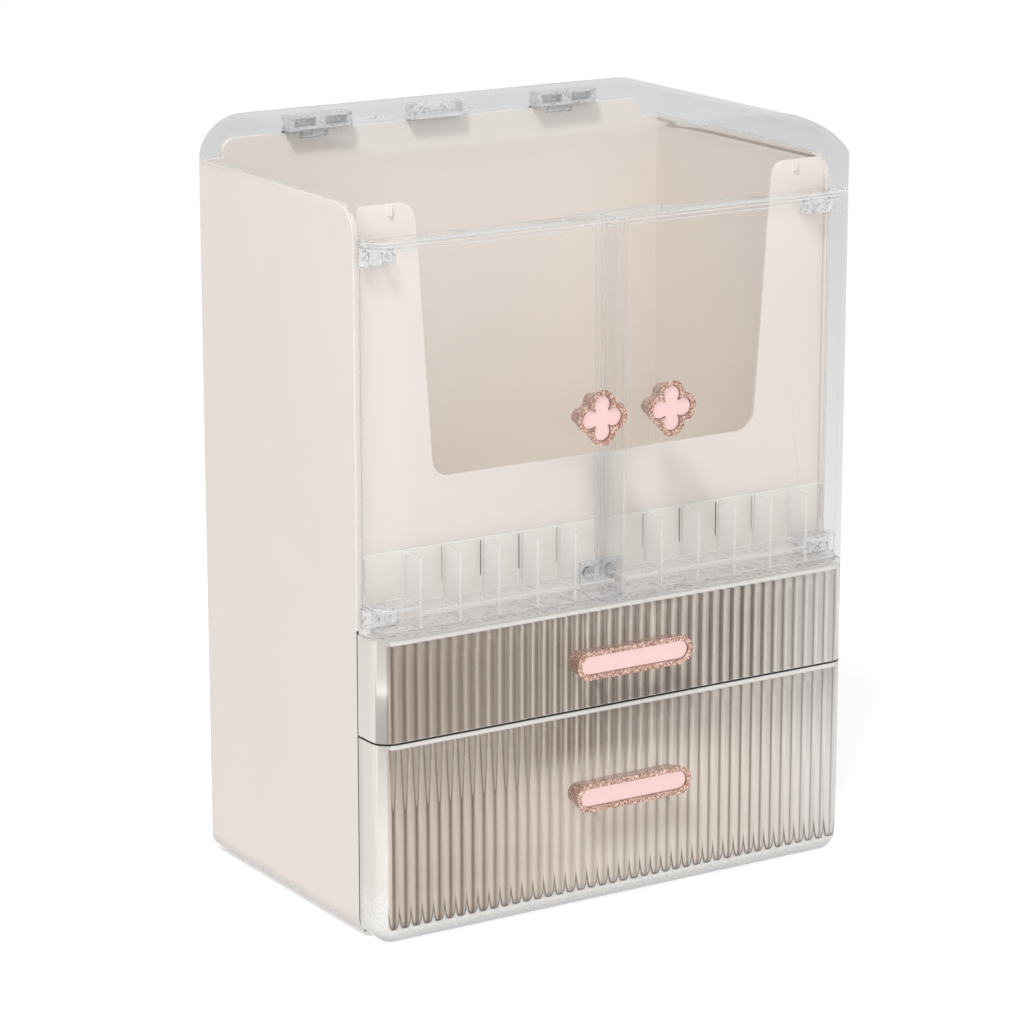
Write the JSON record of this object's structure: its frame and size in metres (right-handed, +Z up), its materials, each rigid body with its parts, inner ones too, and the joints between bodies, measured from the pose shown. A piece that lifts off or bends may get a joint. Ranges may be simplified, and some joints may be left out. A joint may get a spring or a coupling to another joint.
{
  "type": "makeup organizer",
  "caption": "Tabletop makeup cabinet with a clear flip lid, clear hinged doors with lipstick racks, a tall open compartment and clear drawers with fluted fronts.",
  "frame": {"origin": "middle of the object's whole width and depth, handles and hinge barrels included, on the surface it stands on", "axes": "+Z up, the doors and drawers face -Y, +X to the right of somebody who faces them"},
  "size_m": [0.26, 0.1794, 0.361],
  "materials": {
    "cream_plastic": "satin moulded plastic",
    "clear_plastic": "clear polished plastic",
    "fluted_plastic": "clear plastic with a fluted back",
    "glitter_plastic": "rose-gold glitter under clear gloss",
    "pink_enamel": "soft pink gloss",
    "bright_steel": "brushed",
    "foot_rubber": "matte"
  },
  "bodies": {
    "cabinet": {"cabinet_shell": "cream_plastic", "compartment_floor": "cream_plastic", "drawer_shelf": "cream_plastic", "front_board": "cream_plastic", "left_top_bracket": "clear_plastic", "left_bottom_bracket": "clear_plastic", "right_top_bracket": "clear_plastic", "right_bottom_bracket": "clear_plastic", "bracket_screws": "clear_plastic", "door_catch": "clear_plastic", "catch_magnets": "bright_steel", "lid_hinge_pins": "clear_plastic", "rubber_feet": "foot_rubber"},
    "lid": {"lid_cover": "clear_plastic", "left_lid_hinge": "clear_plastic", "right_lid_hinge": "clear_plastic"},
    "left_door": {"left_door_panel": "clear_plastic", "left_lipstick_rack": "clear_plastic", "left_door_pins": "clear_plastic", "left_strike_disc": "bright_steel", "left_knob_rim": "glitter_plastic", "left_knob_inlay": "pink_enamel", "left_knob_screw": "bright_steel"},
    "right_door": {"right_door_panel": "clear_plastic", "right_lipstick_rack": "clear_plastic", "right_door_pins": "clear_plastic", "right_strike_disc": "bright_steel", "right_knob_rim": "glitter_plastic", "right_knob_inlay": "pink_enamel", "right_knob_screw": "bright_steel"},
    "top_drawer": {"top_drawer_front": "fluted_plastic", "top_drawer_tray": "clear_plastic", "top_handle_rim": "glitter_plastic", "top_handle_inlay": "pink_enamel", "top_handle_screws": "bright_steel"},
    "bottom_drawer": {"bottom_drawer_front": "fluted_plastic", "bottom_drawer_tray": "clear_plastic", "bottom_handle_rim": "glitter_plastic", "bottom_handle_inlay": "pink_enamel", "bottom_handle_screws": "bright_steel"}
  },
  "joints": [
    {"name": "lid_hinge", "type": "hinge", "parent": "cabinet", "child": "lid", "pos_m": [0, 0.08675, 0.3495], "axis": [-1, 0, 0], "range_deg": [0, 105]},
    {"name": "left_door_hinge", "type": "hinge", "parent": "cabinet", "child": "left_door", "pos_m": [-0.1262, -0.06205, 0.2364], "axis": [0, 0, -1], "range_deg": [0, 92]},
    {"name": "right_door_hinge", "type": "hinge", "parent": "cabinet", "child": "right_door", "pos_m": [0.1262, -0.06205, 0.2364], "axis": [0, 0, 1], "range_deg": [0, 92]},
    {"name": "top_drawer_slide", "type": "slide", "parent": "cabinet", "child": "top_drawer", "axis": [0, -1, 0], "range_m": [0, 0.13]},
    {"name": "bottom_drawer_slide", "type": "slide", "parent": "cabinet", "child": "bottom_drawer", "axis": [0, -1, 0], "range_m": [0, 0.13]}
  ]
}
